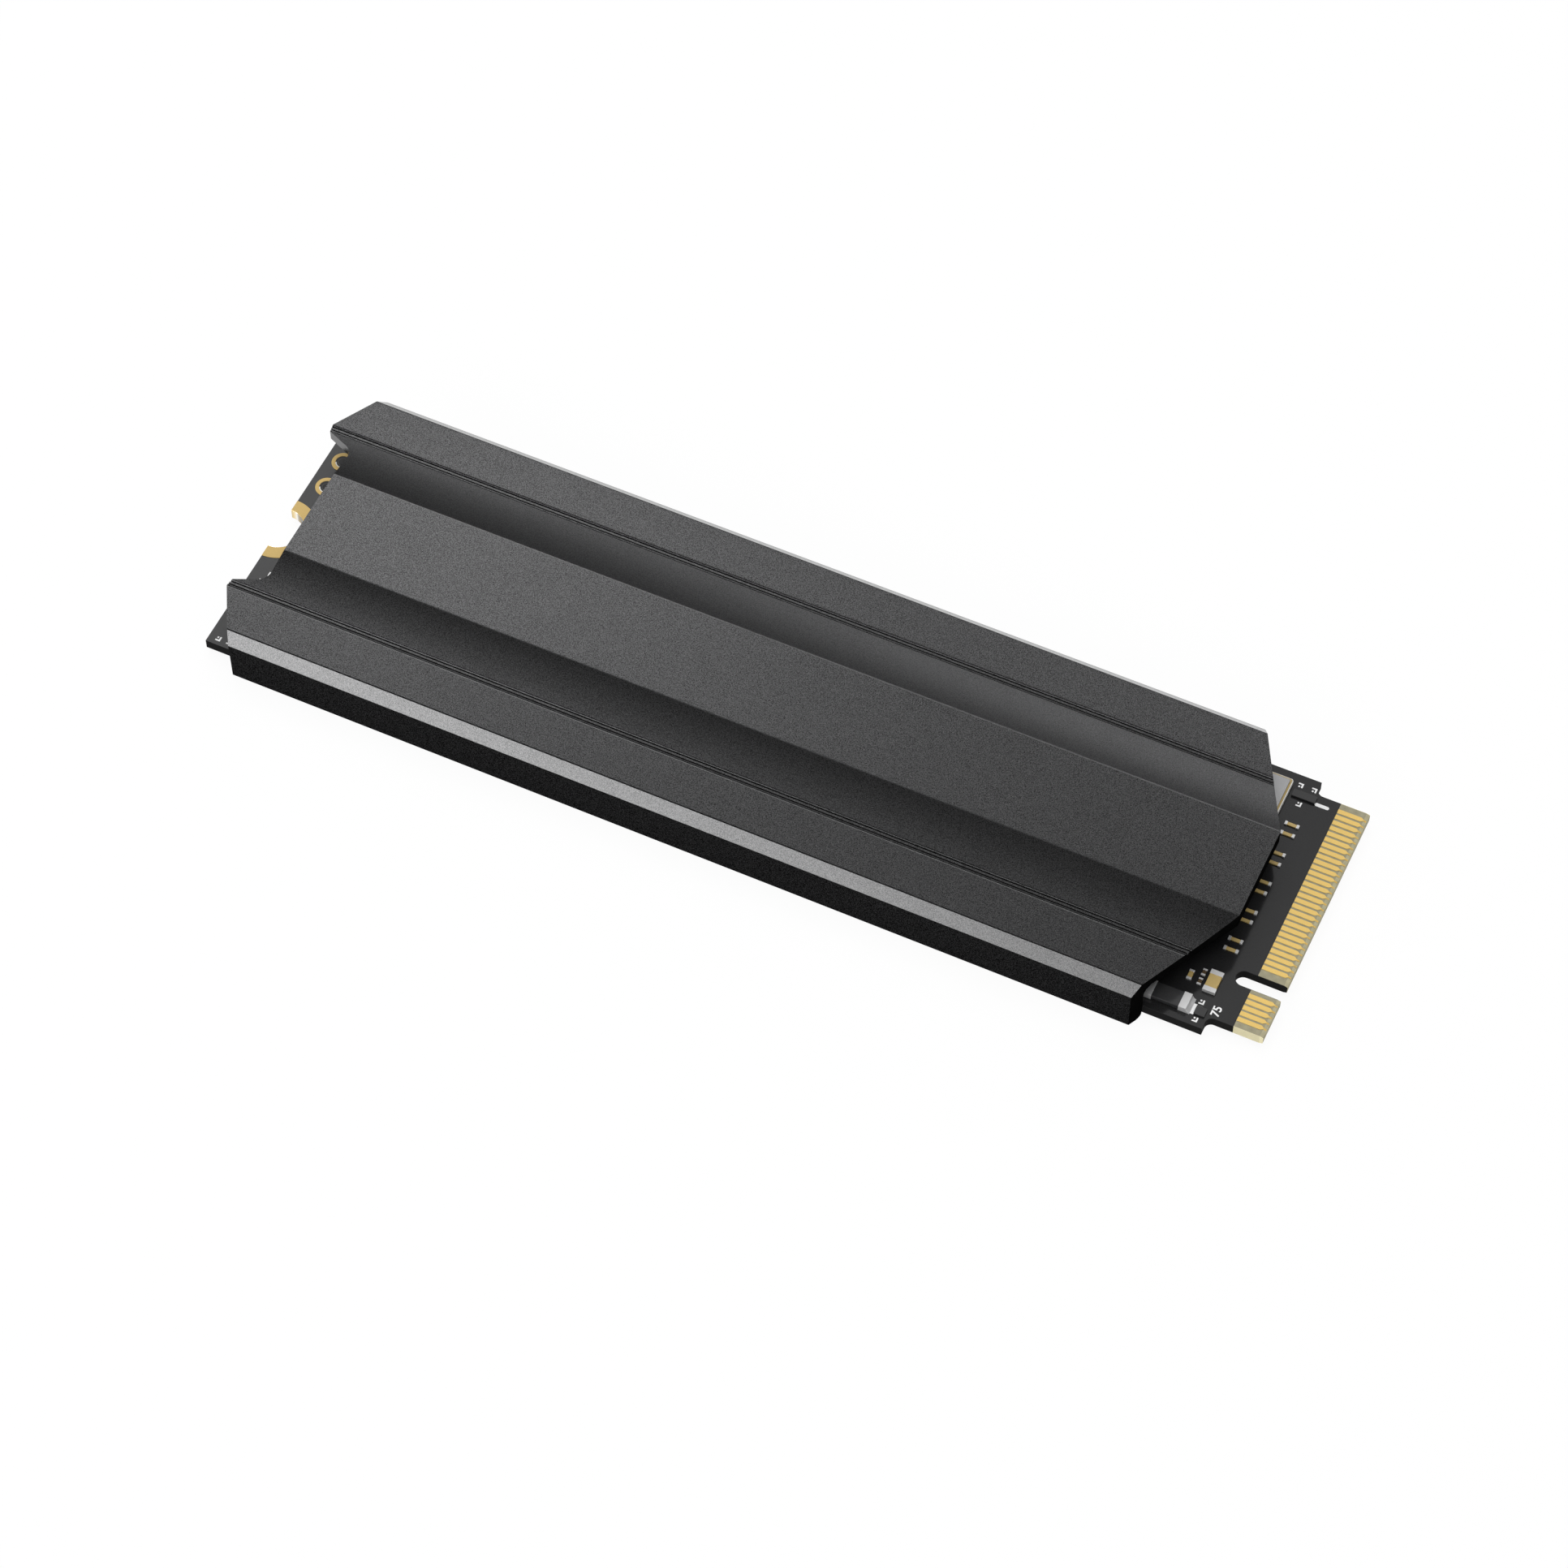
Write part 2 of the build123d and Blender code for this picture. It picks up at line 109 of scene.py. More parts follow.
@named
class HeatsinkSettings(bpy.types.PropertyGroup):
    plateau_half_width: length("Middle line to the plateau's edge", 3.75)
    plateau_thickness: length("Plate thickness in the middle", 1.27)
    flank_width: length("Plateau's edge to the strip with the grooves", 3.572)
    flank_radius: length("Radius of the hollow flanks", 34.0)
    flank_foot_thickness: length("Plate thickness where a flank ends", 0.85)
    band_width: length("Strip that holds the two grooves", 0.633)
    band_outer_thickness: length("Plate thickness outside the grooves", 0.84)
    groove_width: length("Width of a groove's mouth", 0.106)
    groove_depth: length("Depth of a groove", 0.12)
    groove_steep_run: length("Width of a groove's outer wall from above", 0.01)
    groove_lean_run: length("Width of the middle ridge's wall from above", 0.066)
    groove_pitch: length("Distance between the two grooves", 0.24)
    seam_width: length("Width of the fine seams beside the ridges", 0.05)
    seam_depth: length("Depth of the fine seams", 0.06)
    ridge_fall: length("Drop of the two outer ridges towards the seams", 0.006)
    wing_lip_width: length("Width of the wing's eased inner edge", 0.07)
    wing_lip_drop: length("Drop of the wing's eased inner edge", 0.0066)
    plateau_edge_radius: length("Rounding of the plateau's edges", 1.0)
    # A strip of the plateau at this place gets a painted highlight.
    bright_edge_place: length("Middle line to the plateau's bright edge", 3.71)
    bright_edge_width: length("Width of the plateau's bright edge", 0.05)
    outer_edge_radius: length("Rounding of the chamfer's and wall's low edges", 0.1)
    wing_edge_thickness: length("Plate thickness at the wing's outer edge", 0.75)
    edge_chamfer: length("45 degree chamfer along the long edges", 0.8)
    chamfer_edge_radius: length("Rounding above the chamfer", 0.13)
    inner_corner_radius: length("Rounding between plate and side wall", 0.8)
    rail_foot_radius: length("Rounding inside a side wall's foot", 0.5)
    side_wall: length("Thickness of a side wall", 1.01)
    chip_room: length("Card's top to the plate's underside", 2.2)
    nose_setback: length("Contacts' end of the card to the nose", 4.5)
    nose_cut_angle: angle("Slant of the cuts beside the nose", 27.5)
    recess_setback: length("Notch end of the card to the recess", 2.74)
    recess_corner_radius: length("Rounding in the recess's corners", 1.0)
    ear_root_width: length("Recess's corner to the band's inner edge", 0.97)
    ear_setback: length("Notch end of the card to an ear's inner corner", 0.46)
    ear_tip_setback: length("Notch end of the card to an ear's tip", 0.354)
    ear_cut_angle: angle("Slant of an ear's outer cut", 29.0)
    # The back chamfer's painted glow of light runs between these two places.
    crest_start: length("Side wall to where the back chamfer's glow is full", 0.5)
    crest_end: length("Side wall to where that glow ends", 0.12)
    grain_size: length("Size of the bead blast's grain", 0.064)
    # The greys and blacks below are lighter and darker copies of the one anodised finish, set by
    # region as painted light and shade; only the blasted top's black is its own colour.
    black: colour("blasted top", 0.066, 0.066, 0.067)
    chamfer_grey: colour("front chamfer", 0.16, 0.16, 0.161)
    eased_grey: colour("two eased edges", 0.1, 0.1, 0.101)
    back_grey: colour("back chamfer", 0.3, 0.3, 0.301)
    milled_grey: colour("milled recess", 0.11, 0.11, 0.111)
    wall_black: colour("side walls", 0.0127, 0.0127, 0.013)
    cut_black: colour("cuts beside the nose", 0.003, 0.003, 0.003)
    roughness: factor("Roughness of the blasted top", 0.28)
    cut_roughness: factor("Roughness of the milled end faces", 0.22)


@named
class CardSettings(bpy.types.PropertyGroup):
    mask_setback: length("Contacts' end of the card to the solder mask", 2.14)
    bevel_length: length("Lead-in bevel on the tongue", 0.25)
    key_slot_width: length("Width of the key slot", 1.2)
    key_slot_middle: length("Middle line to the key slot", -6.125)
    notch_radius: length("Radius of the screw notch", 1.75)
    notch_pad_radius: length("Radius of the gold ring round the notch", 2.7)
    hole_radius: length("Radius of a plated hole", 0.55)
    hole_ring_radius: length("Radius of the gold ring round a hole", 0.83)
    hole_setback: length("Notch end of the card to the holes", 1.31)
    plating_wall: length("Thickness of the plating inside a hole", 0.03)
    plating_thickness: length("Thickness of the gold rings", 0.035)
    ink_thickness: length("Thickness of the white print", 0.012)
    tongue_side: length("Middle line to the tongue's routed sides", 9.9)
    weave_pitch: length("Distance between two threads of the glass cloth", 0.42)
    mask_black: colour("solder mask", 0.0165, 0.0165, 0.017)
    edge_black: colour("card's routed edges", 0.007, 0.007, 0.007)
    plug_black: colour("filled holes", 0.008, 0.008, 0.008)
    laminate: colour("bare laminate", 0.42, 0.385, 0.25)
    gold: colour("contacts' hard gold", 0.80, 0.55, 0.16)
    soft_gold: colour("notch's and holes' gold", 0.57, 0.40, 0.145)
    ink: colour("white print", 0.86, 0.86, 0.86)


@named
class PartSettings(bpy.types.PropertyGroup):
    chip_black: colour("moulded chips", 0.014, 0.014, 0.0145)
    small_chip: colour("two small chips", 0.034, 0.034, 0.0345)
    ferrite: colour("filter and coils", 0.036, 0.036, 0.037)
    tin: colour("tinned ends", 0.66, 0.66, 0.66)
    tan: colour("capacitors", 0.48, 0.35, 0.13)
    brown: colour("resistors", 0.075, 0.05, 0.025)
    pale: colour("oscillator's base", 0.72, 0.71, 0.68)
    lid: colour("oscillator's lid", 0.38, 0.38, 0.385)
    seal: colour("oscillator's gold seal", 0.37, 0.27, 0.1)
    pad: colour("thermal pad", 0.30, 0.32, 0.34)


@named
class StageSettings(bpy.types.PropertyGroup):
    camera_place: point("Where the camera stands", 0.081536, -0.174791, 0.276626)
    camera_aim: point("The point that the camera looks at", 0.003266, -0.006995, 0.00481)
    camera_lens: length("Lens length", 110.38)
    camera_sensor: length("Sensor width", 36)
    floor_radius: length("Radius of the floor", 8000)
    floor_gap: length("Gap between the floor and the heatsink's feet", 0.02)
    floor_colour: colour("floor", 0.95, 0.95, 0.95)
    floor_glow: factor("Share of plain white in what the camera sees", 0.93)
    key_strength: strength("Brightness of the two soft boxes at the back", 6.0)
    front_strength: strength("Brightness of the soft box in front", 4.59)
    panel_strength: strength("Brightness of the wide panel at the back", 0.64)
    fill_strength: strength("Brightness of the soft box overhead", 2.45)
    top_strength: strength("Brightness of the small panel overhead", 0.6)
    low_strength: strength("Brightness of the four low panels", 0.6)
    room_strength: strength("Brightness of the room", 0.045)


# Shader sums

def math_operator(operation, reflected=False):
    """One of Python's operators, as a method that adds a Math node."""
    def method(self, other=0.0):
        return self.sum(operation, *((other, self) if reflected else (self, other)))
    return method


class Value:
    """A socket that takes part in Python sums."""

    def __init__(self, finish, socket):
        self.finish = finish
        self.socket = socket

    def sum(self, operation, first, second):
        return self.finish.node("ShaderNodeMath", {"operation": operation}, {0: first, 1: second})

    __add__ = math_operator("ADD")
    __radd__ = math_operator("ADD", reflected=True)
    __sub__ = math_operator("SUBTRACT")
    __rsub__ = math_operator("SUBTRACT", reflected=True)
    __mul__ = math_operator("MULTIPLY")
    __rmul__ = math_operator("MULTIPLY", reflected=True)
    __truediv__ = math_operator("DIVIDE")
    __gt__ = math_operator("GREATER_THAN")
    __lt__ = math_operator("LESS_THAN")
    __abs__ = math_operator("ABSOLUTE")


class Finish:
    """One procedural material. Its patterns read Object coordinates, in millimetres."""

    def __init__(self, name):
        self.material = bpy.data.materials.new(name)
        self.material.use_nodes = True
        self.nodes = self.material.node_tree.nodes
        self.nodes.clear()
        place = self.node("ShaderNodeTexCoord", output="Object")
        self.place = self.node("ShaderNodeVectorMath", {"operation": "SCALE"},
                               {"Vector": place, "Scale": 1 / MM})
        self.askew = self.node("ShaderNodeMapping", {"vector_type": "POINT"},
                               {"Vector": self.place, "Rotation": (0.6, 0.5, 0.3)})

    def node(self, kind, settings=None, sockets=None, output=0):
        """Adds a node: its settings come first, then the values or links of its sockets."""
        node = self.nodes.new(kind)
        for name, value in (settings or {}).items():
            if name == "stops":
                self.set_stops(node.color_ramp.elements, value)
            else:
                setattr(node, name, value)
        for name, value in (sockets or {}).items():
            if isinstance(value, Value):
                self.material.node_tree.links.new(value.socket, node.inputs[name])
            else:
                node.inputs[name].default_value = value
        return Value(self, node.outputs[output])

    def set_stops(self, elements, stops):
        while len(elements) < len(stops):
            elements.new(1.0)
        for element, (place, level) in zip(elements, stops):
            element.position = place
            element.color = (level, level, level, 1)

    def noise(self, size, detail=2.0, place=None):
        """Noise whose features are about that many millimetres across. It lies askew, because a
        flat face along the noise's own lattice would show coarse bands."""
        return self.node(
            "ShaderNodeTexNoise", {"noise_dimensions": "3D"},
            {"Vector": place or self.askew, "Scale": 1 / size, "Detail": detail, "Roughness": 0.5},
        )

    def axes(self):
        split = self.node("ShaderNodeSeparateXYZ", None, {"Vector": self.place})
        outputs = split.socket.node.outputs
        return [Value(self, outputs[name]) for name in ("X", "Y", "Z")]

    def mix(self, share, first, second):
        """Two colours mixed by a share from 0 to 1."""
        first, second = (c if isinstance(c, Value) else (*c, 1.0) for c in (first, second))
        return self.node("ShaderNodeMix", {"data_type": "RGBA"},
                         {0: share, 6: first, 7: second}, output=2)

    def tint(self, base, level):
        """A colour made lighter or darker by a level round 1."""
        grey = self.node("ShaderNodeCombineXYZ", None, {0: level, 1: level, 2: level})
        return self.node("ShaderNodeVectorMath", {"operation": "MULTIPLY"},
                         {0: base if isinstance(base, Value) else tuple(base), 1: grey})

    def bump(self, height, depth):
        """Normals from a height of 0 to 1, as deep as that many millimetres."""
        return self.node("ShaderNodeBump", None,
                         {"Strength": 1.0, "Distance": depth * MM, "Height": height})

    def slope(self, value, start, end, first, last):
        """Runs evenly from the first level to the last while a value goes from start to end."""
        return self.node("ShaderNodeMapRange", None, {
            "Value": value, "From Min": start, "From Max": end, "To Min": first, "To Max": last,
        })

    def clamp(self, value, least, most):
        return self.node("ShaderNodeClamp", None, {"Value": value, "Min": least, "Max": most})

    def reach(self, x, y):
        """How far a place lies from a point, from its distances along the two axes."""
        return x.sum("POWER", x * x + y * y, 0.5)

    def levels(self, share, *stops):
        """Grey levels at stops along a share from 0 to 1."""
        return self.node("ShaderNodeValToRGB", {"stops": stops}, {"Fac": share})

    def shader(self, **sockets):
        spaced = {name.replace("_", " "): value for name, value in sockets.items()}
        return self.node("ShaderNodeBsdfPrincipled", None, spaced)

    def surface(self, **sockets):
        return self.finished(self.shader(**sockets))

    def two_surfaces(self, share, first, second):
        mixed = self.node("ShaderNodeMixShader", None, {0: share, 1: first, 2: second})
        return self.finished(mixed)

    def finished(self, shader):
        out = self.nodes.new("ShaderNodeOutputMaterial")
        self.material.node_tree.links.new(shader.socket, out.inputs["Surface"])
        return self.material


# Finishes

def blasted(name, settings, grey, contrast, crest=0.0):
    """Fine bead blast under anodising. Its grain's colour partly stands in for the blast's glints,
    a painted highlight, and is halved on the flank that faces the back, where those glints show
    least. A painted glow makes the upper part of the back chamfer that much lighter."""
    finish = Finish(name)
    size = settings.grain_size / MM
    grain = finish.noise(size, 1.0)
    cloud = finish.noise(size * 40, 3.0)
    _, y, _ = finish.axes()
    plateau = settings.plateau_half_width / MM
    # Painted highlight: the grain's glints are halved on the flank that faces the back.
    fewer_painted_glints = (y > plateau) * (y < plateau + settings.flank_width / MM)
    level = 1 + (grain - 0.5) * (contrast - fewer_painted_glints * contrast * 0.5) + (cloud - 0.5) * 0.1
    # Painted light: the glow lightens the back chamfer's upper part.
    if crest:
        start, end = (heatsink_side() - s / MM for s in (settings.crest_start, settings.crest_end))
        level = level * (1 + crest * finish.slope(y, start, end, 1.0, 0.0))
    return finish.surface(
        Base_Color=finish.tint(grey, level),
        Metallic=1.0,
        Roughness=settings.roughness + grain * 0.004,
        Normal=finish.bump(grain, 0.0006),
    )


def wall_black(settings):
    """The side walls, painted almost black as painted shade, which keep no sheen and show the
    blast as fine pale specks.
    """
    finish = Finish("wall_black")
    grain = finish.noise(settings.grain_size / MM, 1.0)
    level = finish.clamp(1 + (grain - 0.5) * 8.0, 0.05, 6.0)
    return finish.surface(
        Base_Color=finish.tint(settings.wall_black, level),
        Roughness=0.7 + (grain - 0.5) * 0.1,
        Specular_IOR_Level=0.0,
        Normal=finish.bump(grain, 0.003),
    )


def cut_black(settings):
    """The slanted cuts beside the nose, which stay almost without light: their near-black colour
    is painted shade.
    """
    return plain_finish("cut_black", settings.cut_black, settings.grain_size / MM, 2.0, 0.7,
                        0.002, Specular_IOR_Level=0.0)


def milled_black(settings):
    """Recess and ears, milled smooth before the anodising, with faint cutter lines; their grey,
    lighter than the blasted top, is painted light.
    """
    finish = Finish("milled_black")
    stretched = finish.node("ShaderNodeMapping", {"vector_type": "POINT"},
                            {"Vector": finish.place, "Scale": (0.06, 0.06, 1.0)})
    lines = finish.noise(0.06, 1.0, stretched)
    return finish.surface(
        Base_Color=finish.tint(settings.milled_grey, 1 + (lines - 0.5) * 0.3),
        Metallic=1.0,
        Roughness=settings.cut_roughness + (lines - 0.5) * 0.1,
        Normal=finish.bump(lines, 0.0006),
    )


# How far a finish reaches past its wall or below its face, in millimetres
WALL_MARGIN = 0.012
BARREL_MARGIN = 0.008
SKIN_MARGIN = 0.004


def solder_mask(settings):
    """The card: black solder mask, glossier towards the contacts, and bare laminate beyond it. The
    laminate is painted lighter on the lead-in bevel, as light that the tilted bevel catches.
    """
    finish = Finish("solder_mask")
    x, y, z = finish.axes()
    end, _ = card_reach()
    slot_half = settings.key_slot_width / MM / 2 + WALL_MARGIN
    off_slot = abs(y - settings.key_slot_middle / MM) > slot_half
    bare = (x > end - settings.mask_setback / MM) * off_slot
    weave = weave_height(finish, settings.weave_pitch / MM)
    speck = finish.noise(0.06, 2.0)
    cloud = finish.noise(3.0, 2.0)
    mask_level = 1 + (speck - 0.5) * 0.6 + (cloud - 0.5) * 0.25
    rough = finish.slope(x, -30.0, 30.0, 0.33, 0.12)
    bevel = x > end - settings.bevel_length / MM
    side = abs(y) > settings.tongue_side / MM
    # Painted light: the bevel term lightens the laminate on the lead-in bevel.
    fibre_tone_and_light = 0.62 + weave * 0.22 + bevel * 0.35 + side * 1.05 + (speck - 0.5) * 0.2
    fibre = finish.tint(settings.laminate, finish.clamp(fibre_tone_and_light, 0.0, 2.1))
    skin = finish.shader(
        Base_Color=finish.mix(bare, finish.tint(settings.mask_black, mask_level), fibre),
        Roughness=rough + bare * 0.3 + (speck - 0.5) * 0.03,
        Specular_IOR_Level=0.5,
        Normal=finish.bump(weave * 0.5 + speck * 0.5, 0.001),
    )
    routed = finish.shader(
        Base_Color=finish.mix(bare, finish.tint(settings.edge_black, mask_level), fibre),
        Roughness=0.7,
        Specular_IOR_Level=0.05,
        Normal=finish.bump(speck, 0.003),
    )
    _, top = card_levels()
    return finish.two_surfaces(z < top - SKIN_MARGIN, skin, routed)


def weave_height(finish, pitch):
    """Glass cloth under the resin: two sets of rounded threads that cross."""
    x, y, _ = finish.axes()
    warp = x.sum("PINGPONG", x / pitch, 1.0)
    weft = y.sum("PINGPONG", y / pitch, 1.0)
    return warp * (1 - weft) + weft * (1 - warp)


def hole_fill(settings):
    """Dark resin in the plated holes, with a faint pale ring just inside the plating and a bright
    crescent on the side that faces the front: both are painted highlights, the ring with a
    matching bump."""
    finish = Finish("hole_fill")
    low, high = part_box("hole_plugs")
    x, y, _ = finish.axes()
    radius = settings.hole_radius / MM
    across = x - (low.x + high.x) / 2 / MM
    middle = (low.y + high.y) / 2 / MM
    spacing = (high.y - low.y) / MM - 2 * radius
    along = y - (middle - spacing / 2 + (y > middle) * spacing)
    reach = finish.reach(across, along)
    # Painted highlight: pale rings along the hole's inner edges.
    ring = finish.levels(
        reach / radius, (0.0, 0.0), (0.5, 0.0), (0.62, 1.0), (0.7, 0.15), (0.86, 0.1), (0.97, 1.0)
    )
    # Painted highlight: a bright crescent on the hole's front side.
    painted_glint = (reach > radius * 0.84) * (along * -0.9 - across * 0.44 > reach * 0.72)
    speck = finish.noise(0.06, 2.0)
    resin = finish.mix(
        ring * 0.5, finish.tint(settings.plug_black, 1 + (speck - 0.5) * 0.6), (0.11, 0.105, 0.1),
    )
    return finish.surface(
        Base_Color=finish.mix(painted_glint, resin, (0.8, 0.78, 0.74)),
        Roughness=0.35 + (speck - 0.5) * 0.1,
        Specular_IOR_Level=0.3,
        Normal=finish.bump(ring * 0.5 + speck * 0.2, 0.01),
    )


def gold_plating(settings):
    finish = Finish("gold_plating")
    speck = finish.noise(0.08, 2.0)
    cloud = finish.noise(1.2, 2.0)
    level = 1 + (speck - 0.5) * 0.16 + (cloud - 0.5) * 0.12
    return finish.surface(
        Base_Color=finish.tint(settings.gold, level),
        Metallic=0.3,
        Roughness=0.4 + (cloud - 0.5) * 0.1,
        Normal=finish.bump(speck, 0.002),
    )


def ring_gold(settings):
    """Softer gold of the plated notch and holes; the notch's wall runs from a bright painted
    reflection, with a painted white glint, to dark.
    """
    finish = Finish("ring_gold")
    x, y, _ = finish.axes()
    speck = finish.noise(0.08, 2.0)
    end, _ = card_reach()
    depth = x + end
    barrel = finish.reach(depth, y) < settings.notch_radius / MM + BARREL_MARGIN
    share = depth / (settings.notch_radius / MM)
    # Painted reflection: the barrel's colour runs from bright to dark across the notch, with a
    # pale painted glint.
    painted_glare = finish.levels(
        share, (0.0, 0.75), (0.1, 0.95), (0.26, 1.0), (0.36, 0.5), (0.48, 0.3), (0.62, 0.06),
        (1.0, 0.02),
    )
    gold = finish.tint(settings.soft_gold, 1 + (speck - 0.5) * 0.2)
    pale = finish.levels(share, (0.1, 0.0), (0.3, 1.0), (0.42, 0.0))
    wall = finish.tint(finish.mix(pale, (0.9, 0.7, 0.36), (1.0, 0.98, 0.92)), painted_glare)
    return finish.surface(
        Base_Color=finish.mix(barrel, gold, wall),
        Metallic=barrel,
        Roughness=0.45 - barrel * 0.3,
        Specular_IOR_Level=0.3,
        Normal=finish.bump(speck, 0.002),
    )


def plain_finish(name, base, size, spread, roughness, depth, **fixed):
    """A finish of one colour with a fine grain in its colour, gloss and surface."""
    finish = Finish(name)
    grain = finish.noise(size, 2.0)
    cloud = finish.noise(size * 12, 2.0)
    level = 1 + (grain - 0.5) * spread + (cloud - 0.5) * spread * 0.6
    return finish.surface(
        Base_Color=finish.tint(base, level),
        Roughness=roughness + (grain - 0.5) * 0.12,
        Normal=finish.bump(grain, depth),
        **fixed,
    )


# Plain finishes: the setting with the colour, the grain's size, the spread of its levels, the
# roughness, the bump's depth and the shader's fixed sockets
PLAIN_FINISHES = {
    "chip_mould": ("chip_black", 0.05, 0.5, 0.42, 0.002, {"Specular_IOR_Level": 0.4}),
    "glossy_chip": ("small_chip", 0.05, 0.3, 0.14, 0.0004, {}),
    "dark_ferrite": ("ferrite", 0.06, 0.5, 0.14, 0.0008, {}),
    "tin_plating": ("tin", 0.06, 0.16, 0.38, 0.004, {"Metallic": 0.35}),
    "tan_ceramic": ("tan", 0.05, 0.2, 0.45, 0.002, {}),
    "brown_ceramic": ("brown", 0.05, 0.3, 0.4, 0.002, {}),
    "pale_ceramic": ("pale", 0.06, 0.1, 0.5, 0.002, {}),
    "lid_steel": ("lid", 0.07, 0.2, 0.42, 0.002, {"Metallic": 0.5}),
    "seal_gold": ("seal", 0.06, 0.2, 0.45, 0.002, {}),
    "silicone_pad": ("pad", 0.12, 0.2, 0.8, 0.006, {}),
    "white_ink": ("ink", 0.08, 0.08, 0.6, 0.002, {}),
}


def listed_finish(name, settings):
    """A plain finish by its name in the list."""
    colour_setting, *values, fixed = PLAIN_FINISHES[name]
    return plain_finish(name, getattr(settings, colour_setting), *values, **fixed)


# Mesh helpers

def new_object(bm, name, finishes):
    mesh = bpy.data.meshes.new(name)
    bm.to_mesh(mesh)
    bm.free()
    for finish in finishes:
        mesh.materials.append(finish)
    thing = bpy.data.objects.new(name, mesh)
    bpy.context.scene.collection.objects.link(thing)
    return thing


def new_piece(bm, name, finishes, node=None, smooth_angle=RING_ANGLE):
    """Brings a mesh in millimetres to metres and makes it a piece that rides on the drive, and
    that stands for a CAD node if one is named."""
    bmesh.ops.scale(bm, vec=(MM, MM, MM), verts=bm.verts)
    piece = new_object(bm, name, finishes)
    piece.data.shade_smooth()
    piece.data.set_sharp_from_angle(angle=smooth_angle)
    even = piece.modifiers.new("even_normals", "WEIGHTED_NORMAL")
    even.keep_sharp = True
    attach(piece, ROOT)
    if node:
        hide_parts(node)


def bevel(bm, geom, width, segments, affect):
    return bmesh.ops.bevel(
        bm, geom=geom, offset=width, offset_type="OFFSET", segments=segments, profile=0.5,
        affect=affect, clamp_overlap=True, material=-1,
    )


def softened_copy(node, name, width, finish, segments=2):
    """A copy of a CAD node with softened edges, which stands for that node."""
    bm = bmesh.new()
    bm.from_mesh(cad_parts[node].data)
    bmesh.ops.scale(bm, vec=(1 / MM,) * 3, verts=bm.verts)
    bmesh.ops.remove_doubles(bm, verts=bm.verts, dist=SAME_PLACE)
    bmesh.ops.dissolve_limit(bm, angle_limit=math.radians(0.5), verts=bm.verts, edges=bm.edges)
    for face in bm.faces:
        face.material_index = 0
    sharp = [
        edge for edge in bm.edges
        if len(edge.link_faces) == 2 and edge.calc_face_angle(0) > SOFTENED_ANGLE
    ]
    bevel(bm, sharp, width, segments, "EDGES")
    new_piece(bm, name, [finish], node, FLAT_ANGLE)


def dress(node, finish):
    """A CAD node that keeps its mesh gets its finish."""
    for material_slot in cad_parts[node].material_slots:
        material_slot.material = finish


def card_levels():
    """The card's underside and top, in millimetres."""
    low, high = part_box("circuit_board")
    return low.z / MM, high.z / MM


def card_reach():
    """Half the card's length and half its width, in millimetres."""
    _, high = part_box("circuit_board")
    return high.x / MM, high.y / MM


def heatsink_side():
    """The middle line to a side wall's outer face, in millimetres."""
    _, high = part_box("heatsink")
    return high.y / MM


# The heatsink

def in_millimetres(settings):
    """The group's lengths in millimetres and its angles, by their names."""
    units = {"LENGTH": MM, "ROTATION": 1}
    return {
        name: getattr(settings, name) / units[kind.unit]
        for name, kind in settings.bl_rna.properties.items()
        if getattr(kind, "unit", None) in units
    }


def plate_underside(s):
    """The level of the plate's underside, in millimetres."""
    _, card_top = card_levels()
    return card_top + s["chip_room"]


def heatsink_half_outline(s):
    """The section's +Y half, from the middle of the plateau to the middle underneath."""
    plate = plate_underside(s)
    outside = heatsink_side()
    inside = outside - s["side_wall"]
    foot = plate + s["flank_foot_thickness"]
    top = plate + s["plateau_thickness"]
    band_inner = s["plateau_half_width"] + s["flank_width"]
    band_outer = band_inner + s["band_width"]
    slope = (s["band_outer_thickness"] - s["flank_foot_thickness"]) / s["band_width"]
    flank = hollow_arc((s["plateau_half_width"], top), (band_inner, foot), s["flank_radius"], 14)
    plateau_edge = rounded_corner((0, top), flank[0], flank[1], s["plateau_edge_radius"], 10)
    points = [(0, top), *plateau_edge, *flank[1:-1]]
    for y, drop in band_corners(s, band_inner):
        points.append((y, foot + (y - band_inner) * slope - drop))
    wing = plate + s["wing_edge_thickness"]
    low_edge = wing - s["edge_chamfer"]
    lip = s["wing_lip_width"]
    fall = (s["band_outer_thickness"] - s["wing_edge_thickness"]) / (
        outside - s["edge_chamfer"] - band_outer
    )
    wing_edge = (outside - s["edge_chamfer"], wing)
    ease = s["outer_edge_radius"]
    points += [
        (band_outer + lip, plate + s["band_outer_thickness"] - lip * fall),
        wing_edge,
        *rounded_corner(wing_edge, (outside, low_edge), (outside, 0), ease, 10),
        *rounded_corner((outside, low_edge), (outside, 0), (inside, 0), ease, 20),
        (inside, 0),
        (inside, plate),
        (0, plate),
    ]
    return points, band_inner, band_outer


def band_corners(s, band_inner):
    """The band from its inner to its outer edge, as distances across and drops: a seam, a sloping
    ridge, a groove, the middle ridge, and the same the other way round."""
    half_band = s["band_width"] / 2
    groove = s["groove_pitch"] / 2
    mouth = s["groove_width"] / 2
    corners = [
        (half_band, 0),
        (half_band - s["seam_width"] / 2, s["seam_depth"]),
        (half_band - s["seam_width"], s["ridge_fall"]),
        (groove + mouth, 0),
        (groove + mouth - s["groove_steep_run"], s["groove_depth"]),
        (groove - mouth + s["groove_lean_run"], s["groove_depth"]),
        (groove - mouth, 0),
    ]
    middle = band_inner + half_band
    inner = [(middle - across, drop) for across, drop in corners]
    outer = [(middle + across, drop) for across, drop in reversed(corners[1:])]
    return inner + outer + [(middle + half_band, s["wing_lip_drop"])]


